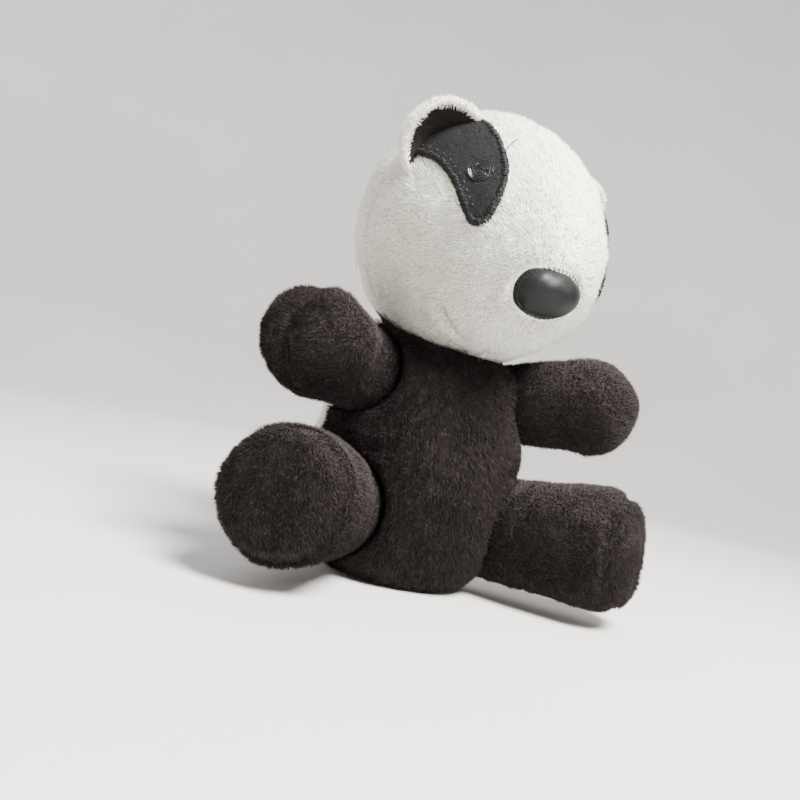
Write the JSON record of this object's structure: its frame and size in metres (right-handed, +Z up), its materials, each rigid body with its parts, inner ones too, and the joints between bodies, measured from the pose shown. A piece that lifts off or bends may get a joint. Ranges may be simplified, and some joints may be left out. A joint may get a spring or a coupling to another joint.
{
  "type": "plush keychain",
  "caption": "Small stuffed badger with a round head, padded limbs that swing at their seams, and a tape loop with a split ring at the back of the head.",
  "frame": {"origin": "centre of the flat seat that the toy rests on", "axes": "+Z up, the toy faces -Y, +X is its own left side"},
  "size_m": [0.0896, 0.0635, 0.0955],
  "materials": {
    "white_plush": "short off-white plush pile",
    "black_plush": "short charcoal-black plush pile",
    "black_felt": "flat black napped suedecloth with a stitched edge",
    "nose_leather": "satin black leatherette",
    "dark_thread": "satin embroidery thread",
    "pale_thread": "sewing thread pulled into the pile",
    "fibrefill": "loose polyester filling",
    "woven_tape": "narrow woven polyester tape",
    "ring_steel": "bright nickel plate"
  },
  "bodies": {
    "body": {"body_front_panel": "black_plush", "body_back_panel": "white_plush", "body_stuffing": "fibrefill"},
    "head": {"head_face_panel": "white_plush", "head_back_panel": "white_plush", "head_stuffing": "fibrefill", "right_eye_patch": "black_felt", "left_eye_patch": "black_felt", "right_eye_embroidery": "dark_thread", "left_eye_embroidery": "dark_thread", "nose_cover": "nose_leather", "nose_stuffing": "fibrefill", "mouth_stitching": "pale_thread", "tape_loop": "woven_tape"},
    "right_ear": {"right_ear_outer": "white_plush", "right_ear_lining": "black_felt"},
    "right_arm": {"right_arm_front_panel": "black_plush", "right_arm_back_panel": "black_plush", "right_arm_stuffing": "fibrefill"},
    "right_leg": {"right_leg_tube": "black_plush", "right_sole_panel": "black_plush", "right_leg_stuffing": "fibrefill"},
    "left_ear": {"left_ear_outer": "white_plush", "left_ear_lining": "black_felt"},
    "left_arm": {"left_arm_front_panel": "black_plush", "left_arm_back_panel": "black_plush", "left_arm_stuffing": "fibrefill"},
    "left_leg": {"left_leg_tube": "black_plush", "left_sole_panel": "black_plush", "left_leg_stuffing": "fibrefill"},
    "ring": {"split_ring": "ring_steel"}
  },
  "joints": [
    {"name": "head_turn", "type": "hinge", "parent": "body", "child": "head", "pos_m": [0.0018, -0.0045, 0.0705], "axis": [0, 0, 1], "range_deg": [-40, 25], "stiffness_Nm_per_rad": 0.02},
    {"name": "right_ear_fold", "type": "hinge", "parent": "head", "child": "right_ear", "pos_m": [-0.0175, -0.01305, 0.08602], "axis": [0.6693, -0.2253, 0.708], "range_deg": [-8, 8], "stiffness_Nm_per_rad": 0.002},
    {"name": "right_arm_swing", "type": "hinge", "parent": "body", "child": "right_arm", "pos_m": [-0.0145, -0.0017, 0.039], "axis": [0, 0, -1], "range_deg": [-15, 30], "stiffness_Nm_per_rad": 0.01},
    {"name": "right_leg_swing", "type": "hinge", "parent": "body", "child": "right_leg", "pos_m": [-0.017, -0.0037, 0.0132], "axis": [0, 0, -1], "range_deg": [-12, 30], "stiffness_Nm_per_rad": 0.02},
    {"name": "left_ear_fold", "type": "hinge", "parent": "head", "child": "left_ear", "pos_m": [0.02372, -0.00083, 0.08441], "axis": [0.3924, 0.523, -0.7566], "range_deg": [-8, 8], "stiffness_Nm_per_rad": 0.002},
    {"name": "left_arm_swing", "type": "hinge", "parent": "body", "child": "left_arm", "pos_m": [0.0145, -0.0017, 0.039], "axis": [0, 0, 1], "range_deg": [-15, 30], "stiffness_Nm_per_rad": 0.01},
    {"name": "left_leg_swing", "type": "hinge", "parent": "body", "child": "left_leg", "pos_m": [0.017, -0.0037, 0.0132], "axis": [0, 0, 1], "range_deg": [-12, 30], "stiffness_Nm_per_rad": 0.02},
    {"name": "ring_swing", "type": "hinge", "parent": "head", "child": "ring", "pos_m": [-0.00167, 0.02379, 0.07823], "axis": [0.9925, 0.1219, 0], "range_deg": [-6, 140]}
  ]
}
